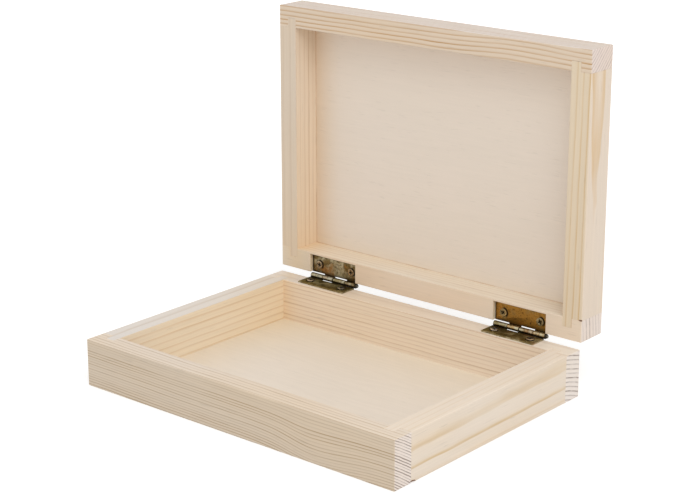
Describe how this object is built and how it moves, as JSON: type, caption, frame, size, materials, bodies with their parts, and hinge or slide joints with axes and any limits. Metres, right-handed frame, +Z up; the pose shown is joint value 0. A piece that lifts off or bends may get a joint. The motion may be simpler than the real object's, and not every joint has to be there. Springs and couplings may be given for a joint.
{
  "type": "hinged wooden box",
  "caption": "Shallow hinged pine box with a framed lid standing open on small antique-brass butt hinges, plain and unfinished.",
  "frame": {"origin": "centre of the flat underside of the base, on the surface that the box stands on", "axes": "+X to the right along the long front of the box, +Y towards the hinged back, +Z up"},
  "size_m": [0.2, 0.1671, 0.1763],
  "materials": {
    "pine": "bare sanded pine with fine orange and grey grain lines",
    "plywood": "bare smooth thin plywood, faintly mottled",
    "antique_brass": "mottled antique brass, satin, darker in the crevices",
    "screw_brass": "antique brass plating, dark in the cross recess",
    "pin_steel": "dark bronze finish on steel"
  },
  "bodies": {
    "base": {"base_front_rail": "pine", "base_back_rail": "pine", "base_left_side": "pine", "base_right_side": "pine", "base_bottom_panel": "plywood", "left_hinge_base_leaf": "antique_brass", "right_hinge_base_leaf": "antique_brass", "left_hinge_pin": "pin_steel", "right_hinge_pin": "pin_steel", "left_base_screw_outer": "screw_brass", "left_base_screw_inner": "screw_brass", "right_base_screw_inner": "screw_brass", "right_base_screw_outer": "screw_brass"},
    "lid": {"lid_front_rail": "pine", "lid_back_rail": "pine", "lid_left_side": "pine", "lid_right_side": "pine", "lid_top_panel": "plywood", "left_hinge_lid_leaf": "antique_brass", "right_hinge_lid_leaf": "antique_brass", "left_lid_screw_outer": "screw_brass", "left_lid_screw_inner": "screw_brass", "right_lid_screw_inner": "screw_brass", "right_lid_screw_outer": "screw_brass"}
  },
  "joints": [
    {"name": "lid_hinge", "type": "hinge", "parent": "base", "child": "lid", "pos_m": [0, 0.0759, 0.02645], "axis": [-1, 0, 0], "range_deg": [-90, 90]}
  ]
}
